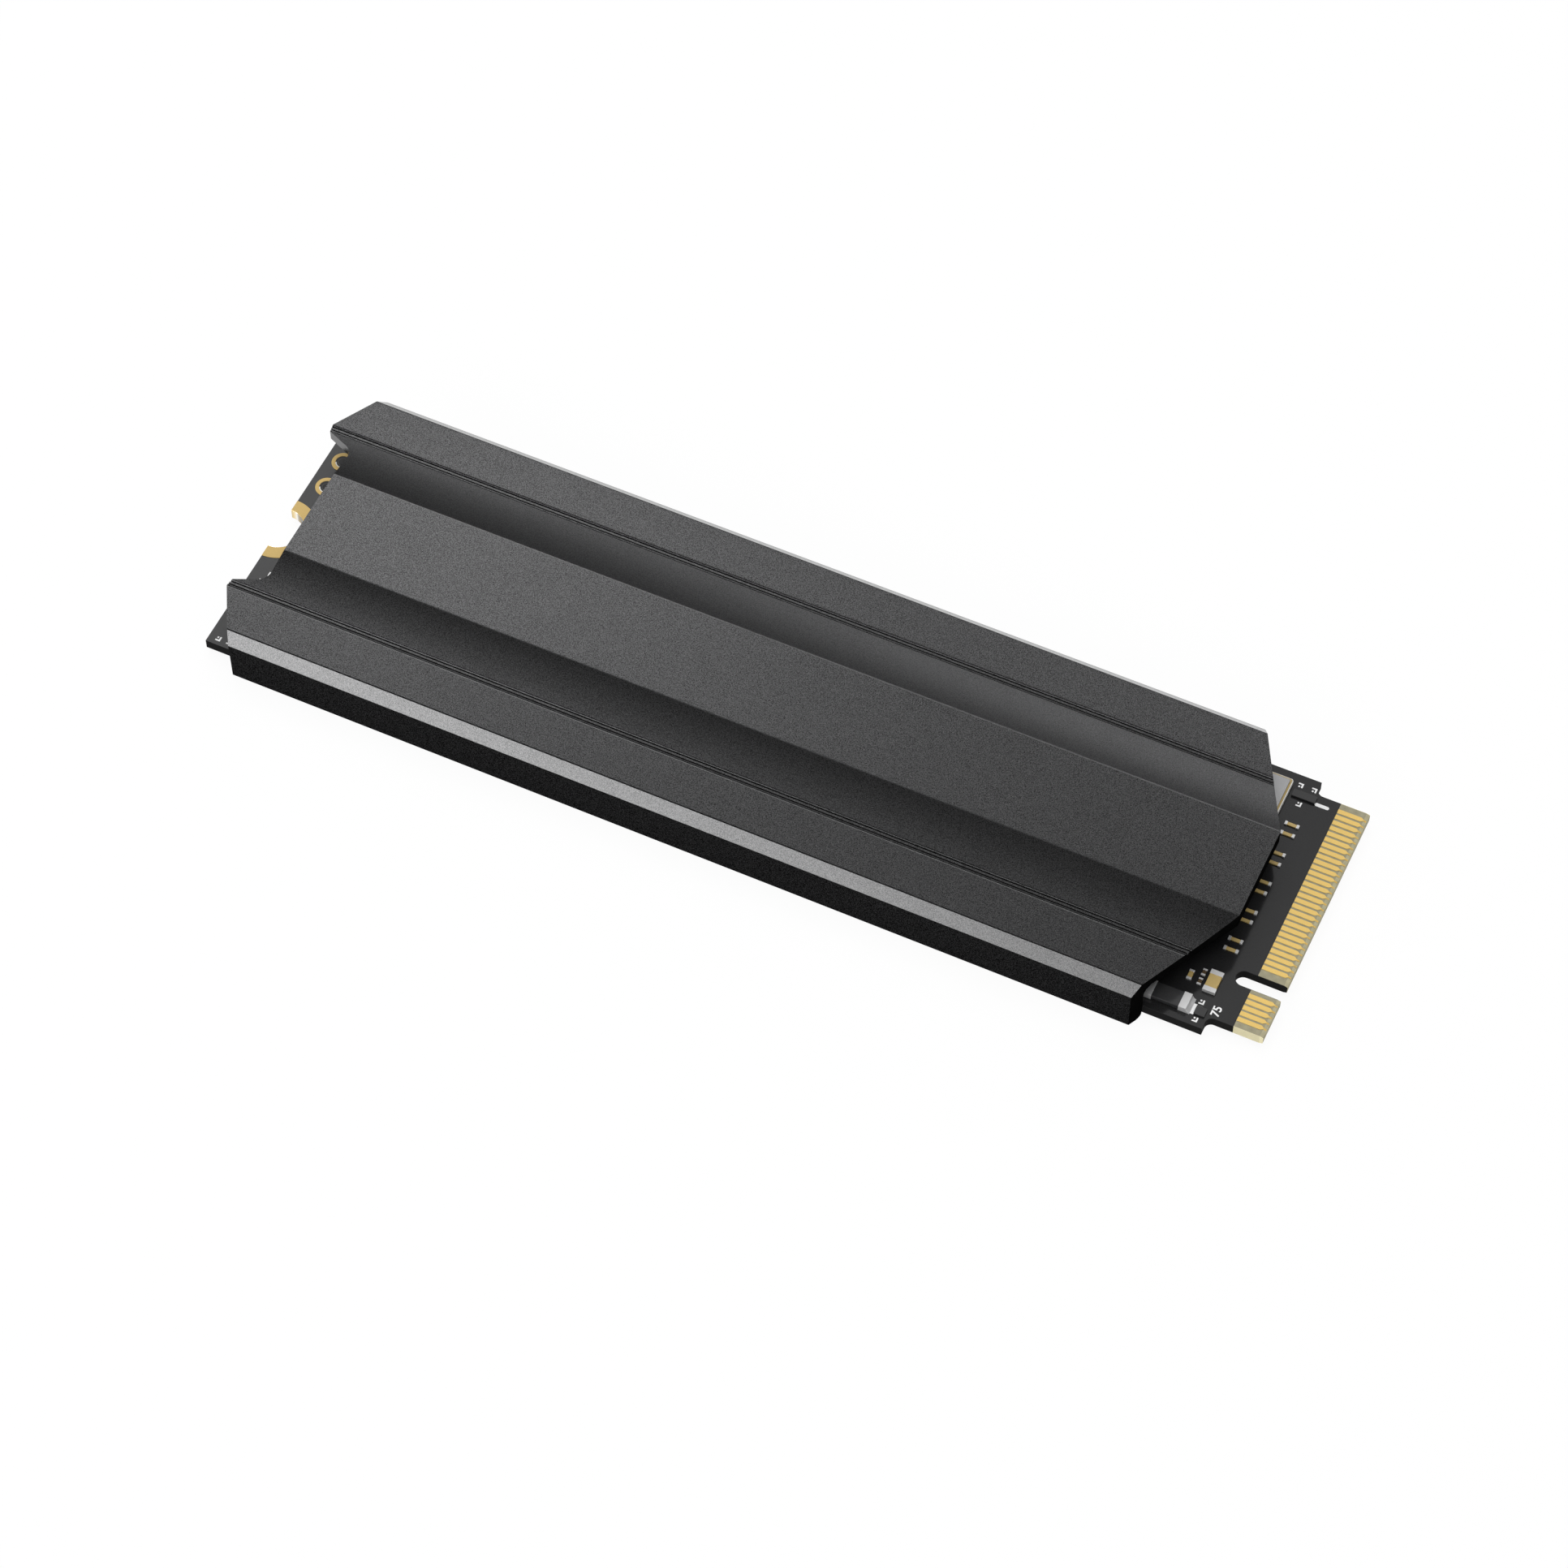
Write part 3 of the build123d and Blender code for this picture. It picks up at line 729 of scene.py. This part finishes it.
def hollow_arc(start, end, radius, steps):
    """The points of an arc between two points, sagging below the straight line between them."""
    start, end = Vector(start), Vector(end)
    chord = end - start
    rise = math.sqrt(radius ** 2 - (chord.length / 2) ** 2)
    centre = (start + end) / 2 + Vector((-chord.y, chord.x)).normalized() * rise
    return swept(start, centre, 2 * math.asin(chord.length / 2 / radius), steps)


def swept(start, centre, turn, steps):
    """The points of an arc that turns a starting point round a centre."""
    arm = start - centre
    points = []
    for step in range(steps + 1):
        a = turn * step / steps
        points.append((
            centre.x + arm.x * math.cos(a) - arm.y * math.sin(a),
            centre.y + arm.x * math.sin(a) + arm.y * math.cos(a),
        ))
    return points


def rounded_corner(before, corner, after, radius, steps):
    """The points of an arc that rounds the corner of a flat outline."""
    before, corner, after = Vector(before), Vector(corner), Vector(after)
    to_before = (before - corner).normalized()
    to_after = (after - corner).normalized()
    half = to_before.angle(to_after) / 2
    start = corner + to_before * radius / math.tan(half)
    centre = corner + (to_before + to_after).normalized() * radius / math.sin(half)
    turn = math.pi - 2 * half
    side = 1 if (start - centre).cross(corner - centre) > 0 else -1
    return swept(start, centre, side * turn, steps)


def nose_outline(s, contact_end, outside):
    """The milled end beside the contacts, from the middle to a side, as X and Y."""
    nose = contact_end - s["nose_setback"]
    slant = math.tan(s["nose_cut_angle"])
    wide = s["plateau_half_width"]
    return [(nose, 0), (nose, wide), (nose - (outside - wide) * slant, outside)]


def recess_outline(s, notch_end, band_inner, band_outer, outside):
    """The milled end beside the screw notch, from the middle to a side, as X and Y."""
    recess = notch_end + s["recess_setback"]
    corner = (recess, band_inner - s["ear_root_width"])
    ear = (notch_end + s["ear_setback"], band_inner)
    tip = notch_end + s["ear_tip_setback"]
    back = (outside - band_outer) * math.tan(s["ear_cut_angle"])
    rounded = rounded_corner((recess, 0), corner, ear, s["recess_corner_radius"], 20)
    return [(recess, 0), *rounded, ear, (tip, band_outer), (tip + back, outside)]


def reach_at(outline, y):
    """The outline's X where it passes a Y, worked out between its points."""
    for (x0, y0), (x1, y1) in zip(outline, outline[1:]):
        if y <= y1:
            return x0 + (x1 - x0) * max(y - y0, 0) / (y1 - y0)
    return outline[-1][0]


def round_pair(bm, across, level, radius, corner, segments):
    """Rounds a corner of the section that bends by that many degrees, on both sides."""
    places = [Vector((side * across, level)) for side in (1, -1)]
    corners = [min(bm.verts, key=lambda v: (v.co.yz - place).length) for place in places]
    bevel(bm, corners, radius * math.tan(math.radians(corner) / 2), segments, "VERTICES")


def shape_heatsink(s, finishes):
    """Draws the section out to both milled outlines and sorts its faces to their finishes."""
    half, band_inner, band_outer = heatsink_half_outline(s)
    contact_end, _ = card_reach()
    outside = max(y for y, _ in half)
    bm = bmesh.new()
    outline = half + [(-y, z) for y, z in reversed(half[1:-1])]
    bm.faces.new([bm.verts.new((0, y, z)) for y, z in outline])
    round_section_corners(bm, s)
    grown = bmesh.ops.extrude_face_region(bm, geom=list(bm.faces))
    far_side = [v for v in grown["geom"] if isinstance(v, bmesh.types.BMVert)]
    bmesh.ops.translate(bm, vec=(1, 0, 0), verts=far_side)
    nose = nose_outline(s, contact_end, outside)
    recess = recess_outline(s, -contact_end, band_inner, band_outer, outside)
    for station in sorted({y for _, y in nose + recess if 0 < y < outside}):
        for side in (-1, 1):
            bmesh.ops.bisect_plane(
                bm, geom=bm.verts[:] + bm.edges[:] + bm.faces[:], dist=SAME_PLACE,
                plane_co=(0, side * station, 0), plane_no=(0, 1, 0),
            )
    for vert in bm.verts:
        outline = nose if vert.co.x > 0.5 else recess
        vert.co.x = reach_at(outline, abs(vert.co.y))
    bmesh.ops.recalc_face_normals(bm, faces=bm.faces)
    bmesh.ops.dissolve_limit(
        bm, angle_limit=math.radians(0.2), verts=bm.verts, edges=bm.edges,
    )
    sort_faces(bm, s, band_outer)
    new_piece(bm, "anodised_heatsink", finishes, "heatsink", FLAT_ANGLE)


def round_section_corners(bm, s):
    """Rounds the wing's outer edge, a wall's inner foot and the inner corner under the plate."""
    plate = plate_underside(s)
    outside = heatsink_side()
    inside = outside - s["side_wall"]
    round_pair(bm, outside - s["edge_chamfer"], plate + s["wing_edge_thickness"],
               s["chamfer_edge_radius"], 45, 10)
    round_pair(bm, inside, 0, s["rail_foot_radius"], 90, 20)
    round_pair(bm, inside, plate, s["inner_corner_radius"], 90, 20)


# The heatsink's finishes, in the order of its material slots
TOP, WALL, MILLED, FRONT_CHAMFER, BACK_CHAMFER, NOSE_CUT, PAINTED_HIGHLIGHT = range(7)
# Height in millimetres above which a face belongs to the upper side
UPPER_LEVEL = 3.0


def sort_faces(bm, s, band_outer):
    """Every face is a blasted top face unless its place or direction says otherwise. The other
    finishes are lighter or darker copies of the top's, as painted light and shade: the chamfers
    and the milled recess are painted lighter, the walls and the nose's cuts painted darker, and
    the front wing's lip and a strip along the plateau's back edge get a painted highlight."""
    for face in bm.faces:
        face.material_index = TOP
        face.normal_update()
        normal = face.normal
        middle = face.calc_center_median()
        upper = middle.z > UPPER_LEVEL
        wing_lip_highlight = 0 < -middle.y - band_outer < s["wing_lip_width"]
        plateau_highlight_strip = abs(middle.y - s["bright_edge_place"]) < s["bright_edge_width"] / 2
        if upper and normal.z > 0.9 and (wing_lip_highlight or plateau_highlight_strip):
            face.material_index = PAINTED_HIGHLIGHT
        elif abs(normal.x) > 0.3:
            face.material_index = MILLED if middle.x < 0 else NOSE_CUT
        elif abs(normal.y) > 0.9 or normal.z < -0.3:
            face.material_index = WALL
        elif abs(normal.y) > 0.68 and upper:
            face.material_index = FRONT_CHAMFER if normal.y < 0 else BACK_CHAMFER


class DRIVE_OT_heatsink(bpy.types.Operator):
    """Make the one-piece heatsink: its section drawn out along the card, with milled ends"""
    bl_idname = "drive.heatsink"
    bl_label = "Heatsink"

    def execute(self, context):
        settings = context.scene.drive_heatsink
        # Besides the blasted top, these finishes are lighter and darker copies of the same
        # anodised surface: painted light and shade.
        finishes = [
            blasted("blasted_black", settings, settings.black, contrast=3.2),
            wall_black(settings),
            milled_black(settings),
            blasted("front_chamfer", settings, settings.chamfer_grey, contrast=1.7),
            blasted("back_chamfer", settings, settings.back_grey, contrast=1.7, crest=0.28),
            cut_black(settings),
            blasted("eased_edges", settings, settings.eased_grey, contrast=1.2),
        ]
        shape_heatsink(in_millimetres(settings), finishes)
        return {"FINISHED"}


# The card, its plating and its print

class DRIVE_OT_card(bpy.types.Operator):
    """Give the module card its solder mask and laminate, and its plated holes their resin"""
    bl_idname = "drive.card"
    bl_label = "Card"

    def execute(self, context):
        settings = context.scene.drive_card
        dress("circuit_board", solder_mask(settings))
        dress("hole_plugs", hole_fill(settings))
        return {"FINISHED"}


# Steps round a plated hole or half-round notch
RING_STEPS = 48


def spun_ring(bm, place, bore, pad, s, turn):
    """A plated hole or part of one: a ring on each face of the card, joined by the wall inside."""
    bottom, top = card_levels()
    thick = s.plating_thickness / MM
    barrel = bore + s.plating_wall / MM
    section = [
        (bore, bottom - thick), (pad, bottom - thick), (pad, bottom), (barrel, bottom),
        (barrel, top), (pad, top), (pad, top + thick), (bore, top + thick),
    ]
    centre = Vector((place[0], place[1], 0))
    arm = Vector((0, -1, 0))
    verts = [bm.verts.new(centre + arm * r + Vector((0, 0, z))) for r, z in section]
    edges = [bm.edges.new((a, b)) for a, b in zip(verts, verts[1:] + verts[:1])]
    full = turn == math.tau
    made = bmesh.ops.spin(
        bm, geom=verts + edges, cent=centre, axis=(0, 0, 1), angle=turn, steps=RING_STEPS,
        use_merge=full, use_duplicate=False,
    )
    if not full:
        last = [e for e in made["geom_last"] if isinstance(e, bmesh.types.BMEdge)]
        bmesh.ops.contextual_create(bm, geom=edges)
        bmesh.ops.contextual_create(bm, geom=last)


class DRIVE_OT_plating(bpy.types.Operator):
    """Make the gold ring of the screw notch and those of the two plated holes"""
    bl_idname = "drive.plating"
    bl_label = "Plated notch and holes"

    def execute(self, context):
        s = context.scene.drive_card
        gold = ring_gold(s)
        end, _ = card_reach()
        bm = bmesh.new()
        spun_ring(bm, (-end, 0), s.notch_radius / MM, s.notch_pad_radius / MM, s, math.pi)
        self.finish(bm, "notch_gold", gold, "notch_plating")
        bm = bmesh.new()
        low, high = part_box("hole_plating")
        ring = s.hole_ring_radius / MM
        for row in (low.y / MM + ring, high.y / MM - ring):
            place = (-end + s.hole_setback / MM, row)
            spun_ring(bm, place, s.hole_radius / MM, ring, s, math.tau)
        self.finish(bm, "hole_gold", gold, "hole_plating")
        return {"FINISHED"}

    def finish(self, bm, name, gold, node):
        bmesh.ops.recalc_face_normals(bm, faces=bm.faces)
        new_piece(bm, name, [gold], node)


class DRIVE_OT_contacts(bpy.types.Operator):
    """Make the gold edge contacts on both faces of the tongue"""
    bl_idname = "drive.contacts"
    bl_label = "Edge contacts"

    def execute(self, context):
        gold = gold_plating(context.scene.drive_card)
        for node in ("edge_contacts_top", "edge_contacts_bottom"):
            softened_copy(node, node + "_gold", 0.01, gold, 1)
        return {"FINISHED"}


# Printed bars: two opposite corners as X and Y, and the rounding of the bar's corners
BARS = ((36.2, 9.0, 37.25, 9.27, 0.13), (34.77, -10.21, 35.04, -9.36, 0))
# Places of the small printed marks: X, Y and which way across the card their foot points
MARKS = (
    (34.75, 10.15, 1), (35.75, 10.15, 1), (35.2, 8.65, -1), (35.2, -9.05, -1), (35.3, -10.5, -1),
    (-39.25, -10.48, -1), (-38.4, -10.45, -1),
)
MARK_HEIGHT = 0.4
# The bars that make up a mark: two opposite corners each, in shares of the mark's height
MARK_BARS = (
    (0.2, -0.45, 0.5, 0.5), (-0.45, 0.22, 0.2, 0.5), (-0.3, -0.4, 0.0, -0.08),
)
# The last pin's number, the height of its digits, its place and how much its strokes swell
NUMBER = "75"
NUMBER_HEIGHT = 0.62
NUMBER_PLACE = (36.4, -9.32)
NUMBER_SWELL = 0.018
# Height of a digit in shares of the font's size
DIGIT_SHARE = 0.73


def ink_bar(bm, x0, y0, x1, y1, level, thickness, corner):
    """One printed bar between two opposite corners, with its own corners rounded or sharp."""
    made = bmesh.ops.create_grid(bm, x_segments=1, y_segments=1, size=0.5)
    verts = made["verts"]
    bmesh.ops.scale(bm, vec=(abs(x1 - x0), abs(y1 - y0), 1), verts=verts)
    bmesh.ops.translate(bm, vec=((x0 + x1) / 2, (y0 + y1) / 2, level), verts=verts)
    if corner:
        verts = bevel(bm, verts, corner, 6, "VERTICES")["verts"]
    faces = list({f for v in verts for f in v.link_faces})
    grown = bmesh.ops.extrude_face_region(bm, geom=faces)
    lifted = [v for v in grown["geom"] if isinstance(v, bmesh.types.BMVert)]
    bmesh.ops.translate(bm, vec=(0, 0, thickness), verts=lifted)


def ink_mark(bm, x, y, foot, level, thickness):
    """One small mark with its middle at X and Y."""
    for x0, y0, x1, y1 in MARK_BARS:
        ink_bar(bm, x + x0 * MARK_HEIGHT, y + foot * y0 * MARK_HEIGHT, x + x1 * MARK_HEIGHT,
                y + foot * y1 * MARK_HEIGHT, level, thickness, 0)


def ink_number(level, thickness):
    """The printed number, whose foot is towards the contacts and which reads along +Y."""
    curve = bpy.data.curves.new("pin_number_text", "FONT")
    curve.body = NUMBER
    curve.size = NUMBER_HEIGHT / DIGIT_SHARE
    curve.align_x = "CENTER"
    curve.align_y = "CENTER"
    curve.offset = NUMBER_SWELL
    curve.extrude = thickness / 2
    holder = bpy.data.objects.new("pin_number_text", curve)
    bpy.context.scene.collection.objects.link(holder)
    bpy.context.view_layer.update()
    mesh = bpy.data.meshes.new_from_object(
        holder.evaluated_get(bpy.context.evaluated_depsgraph_get())
    )
    bpy.data.objects.remove(holder)
    turn = Matrix.Rotation(math.radians(90), 4, "Z")
    mesh.transform(Matrix.Translation((*NUMBER_PLACE, level + thickness / 2)) @ turn)
    return mesh


class DRIVE_OT_print(bpy.types.Operator):
    """Print the white bars, the small marks and the last pin's number on the card"""
    bl_idname = "drive.print"
    bl_label = "White print"

    def execute(self, context):
        s = context.scene.drive_card
        _, level = card_levels()
        thick = s.ink_thickness / MM
        bm = bmesh.new()
        for *corners, rounding in BARS:
            ink_bar(bm, *corners, level, thick, rounding)
        for x, y, foot in MARKS:
            ink_mark(bm, x, y, foot, level, thick)
        bm.from_mesh(ink_number(level, thick))
        bmesh.ops.remove_doubles(bm, verts=bm.verts, dist=SAME_PLACE)
        bmesh.ops.recalc_face_normals(bm, faces=bm.faces)
        new_piece(bm, "white_print", [listed_finish("white_ink", s)])
        return {"FINISHED"}


# The components

class DRIVE_OT_chips(bpy.types.Operator):
    """Dress the hidden chips and the thermal pad, and make the two small chips in sight"""
    bl_idname = "drive.chips"
    bl_label = "Chips and thermal pad"

    def execute(self, context):
        s = context.scene.drive_parts
        mould = listed_finish("chip_mould", s)
        for node in ("controller_chip", "memory_chip", "flash_chip_near", "flash_chip_far",
                     "regulator_chip"):
            dress(node, mould)
        glossy = listed_finish("glossy_chip", s)
        for node in ("buffer_chip", "monitor_chip"):
            softened_copy(node, node + "_mould", 0.03, glossy, 1)
        dress("thermal_pad", listed_finish("silicone_pad", s))
        return {"FINISHED"}


class DRIVE_OT_capacitors(bpy.types.Operator):
    """Make the capacitors and resistors with softened edges and tinned ends"""
    bl_idname = "drive.capacitors"
    bl_label = "Capacitors and resistors"

    def execute(self, context):
        s = context.scene.drive_parts
        tin = listed_finish("tin_plating", s)
        context.scene["drive_tin"] = tin.name
        tan = listed_finish("tan_ceramic", s)
        brown = listed_finish("brown_ceramic", s)
        for kind in ("coupling_capacitor", "bypass_capacitor"):
            softened_copy(kind + "_bodies", kind + "_blocks", 0.015, tan, 1)
            softened_copy(kind + "_terminals", kind + "_ends", 0.015, tin, 1)
        softened_copy("bulk_capacitor_body", "bulk_capacitor_block", 0.03, tan)
        softened_copy("bulk_capacitor_terminals", "bulk_capacitor_ends", 0.018, tin)
        softened_copy("resistor_bodies", "resistor_blocks", 0.012, brown, 1)
        softened_copy("resistor_terminals", "resistor_ends", 0.012, tin, 1)
        return {"FINISHED"}


class DRIVE_OT_filter(bpy.types.Operator):
    """Make the dark filter block, its tinned ends and solder, and dress the two coils"""
    bl_idname = "drive.filter"
    bl_label = "Filter and coils"

    def execute(self, context):
        ferrite = listed_finish("dark_ferrite", context.scene.drive_parts)
        tin = bpy.data.materials[context.scene["drive_tin"]]
        softened_copy("filter_body", "filter_block", 0.04, ferrite)
        softened_copy("filter_terminals", "filter_ends", 0.03, tin)
        softened_copy("filter_solder", "filter_joints", 0.02, tin)
        dress("coil_bodies", ferrite)
        dress("coil_terminals", tin)
        return {"FINISHED"}


class DRIVE_OT_oscillator(bpy.types.Operator):
    """Make the oscillator: pale base, gold seal ring and metal lid"""
    bl_idname = "drive.oscillator"
    bl_label = "Oscillator"

    def execute(self, context):
        s = context.scene.drive_parts
        gold = listed_finish("seal_gold", s)
        pale = listed_finish("pale_ceramic", s)
        steel = listed_finish("lid_steel", s)
        softened_copy("oscillator_base", "oscillator_tray", 0.03, pale)
        softened_copy("oscillator_seal_ring", "oscillator_seal", 0.01, gold, 1)
        softened_copy("oscillator_lid", "oscillator_cover", 0.02, steel)
        return {"FINISHED"}


# The stage

def aim(thing, place, target):
    thing.location = place
    thing.rotation_mode = "QUATERNION"
    thing.rotation_quaternion = (Vector(target) - Vector(place)).to_track_quat("-Z", "Y")


# The soft boxes: azimuth and elevation in degrees, distance and size in metres, the setting that
# holds their brightness in a mirror, and whether mirrors show them
SOFT_BOXES = (
    ("left_box", (-38.1, 49.8), 0.9, (0.272, 0.102), "key_strength", True),
    ("back_box", (-7.0, 45.6), 0.9, (0.289, 0.066), "key_strength", True),
    ("front_box", (-141.1, 26.4), 0.9, (1.142, 0.2), "front_strength", True),
    ("back_panel", (-11.7, 60.7), 0.9, (0.976, 0.283), "panel_strength", True),
    ("fill_box", (0, 90), 1.3, (1.4, 1.4), "fill_strength", False),
    ("top_panel", (0, 90), 0.9, (0.3, 0.3), "top_strength", True),
    *(
        (f"low_panel_{side}", (turn, 16), 1.6, (3.0, 0.5), "low_strength", True)
        for side, turn in (("back", 0), ("right", 90), ("front", 180), ("left", 270))
    ),
)


def soft_box(name, direction, distance, size, brightness, reflected):
    """A soft box that faces the drive and looks that bright in a mirror."""
    lamp = bpy.data.lights.new(name, "AREA")
    lamp.shape = "RECTANGLE"
    lamp.size, lamp.size_y = size
    lamp.energy = brightness * math.pi * size[0] * size[1]
    holder = bpy.data.objects.new(name, lamp)
    bpy.context.scene.collection.objects.link(holder)
    azimuth, elevation = (math.radians(a) for a in direction)
    place = Vector((
        math.sin(azimuth) * math.cos(elevation),
        math.cos(azimuth) * math.cos(elevation),
        math.sin(elevation),
    )) * distance
    aim(holder, place, (0, 0, 0))
    holder.visible_camera = False
    holder.visible_glossy = reflected


def plain_room(strength):
    world = bpy.data.worlds.new("room")
    world.use_nodes = True
    background = world.node_tree.nodes["Background"]
    background.inputs["Color"].default_value = (1, 1, 1, 1)
    background.inputs["Strength"].default_value = strength
    bpy.context.scene.world = world


def pale_floor(settings):
    """A floor that keeps the drive's shadow and looks white directly and in reflections."""
    finish = Finish("pale_floor")
    paths = finish.node("ShaderNodeLightPath").socket.node.outputs
    seen, *others = (
        Value(finish, paths[f"Is {kind} Ray"]) for kind in ("Camera", "Glossy", "Transmission")
    )
    for other in others:
        seen = seen.sum("MAXIMUM", seen, other)
    speck = finish.noise(4.0, 2.0)
    paint = finish.node("ShaderNodeBsdfDiffuse", None, {
        "Color": finish.tint(settings.floor_colour, 0.98 + speck * 0.04),
    })
    white = finish.node("ShaderNodeEmission", None, {"Color": (1, 1, 1, 1), "Strength": 1.0})
    paint_and_white = finish.two_surfaces(seen * settings.floor_glow, paint, white)
    bm = bmesh.new()
    bmesh.ops.create_circle(bm, cap_ends=True, segments=64, radius=settings.floor_radius)
    bmesh.ops.translate(bm, vec=(0, 0, -settings.floor_gap), verts=bm.verts)
    new_object(bm, "floor", [paint_and_white])


class DRIVE_OT_stage(bpy.types.Operator):
    """Set up the floor, the soft light and the camera"""
    bl_idname = "drive.stage"
    bl_label = "Stage"

    def execute(self, context):
        settings = context.scene.drive_stage
        context.scene.view_settings.view_transform = "Standard"
        plain_room(settings.room_strength)
        pale_floor(settings)
        for *box, brightness, reflected in SOFT_BOXES:
            soft_box(*box, getattr(settings, brightness), reflected)
        camera_data = bpy.data.cameras.new("camera")
        camera_data.lens = settings.camera_lens / MM
        camera_data.sensor_width = settings.camera_sensor / MM
        camera_data.clip_start = 0.01
        camera_data.clip_end = 100
        camera = bpy.data.objects.new("camera", camera_data)
        context.scene.collection.objects.link(camera)
        aim(camera, settings.camera_place, settings.camera_aim)
        context.scene.camera = camera
        return {"FINISHED"}


class DRIVE_PT_panel(bpy.types.Panel):
    """Lists the steps that dress the drive"""
    bl_idname = "DRIVE_PT_panel"
    bl_label = "Solid-state drive"
    bl_space_type = "VIEW_3D"
    bl_region_type = "UI"
    bl_category = "Drive"

    def draw(self, context):
        for operator in OPERATORS:
            self.layout.operator(operator.bl_idname)


SETTINGS = {
    "drive_heatsink": HeatsinkSettings,
    "drive_card": CardSettings,
    "drive_parts": PartSettings,
    "drive_stage": StageSettings,
}
OPERATORS = (
    DRIVE_OT_stage, DRIVE_OT_heatsink, DRIVE_OT_card, DRIVE_OT_contacts, DRIVE_OT_plating,
    DRIVE_OT_print, DRIVE_OT_chips, DRIVE_OT_capacitors, DRIVE_OT_filter, DRIVE_OT_oscillator,
)
CLASSES = (*SETTINGS.values(), *OPERATORS, DRIVE_PT_panel)


def register():
    for cls in CLASSES:
        bpy.utils.register_class(cls)
    for name, group in SETTINGS.items():
        setattr(bpy.types.Scene, name, PointerProperty(type=group))


def unregister():
    for name in SETTINGS:
        delattr(bpy.types.Scene, name)
    for cls in reversed(CLASSES):
        bpy.utils.unregister_class(cls)


def main():
    register()
    for operator in OPERATORS:
        group, name = operator.bl_idname.split(".")
        getattr(getattr(bpy.ops, group), name)()


if __name__ == "__main__":
    main()
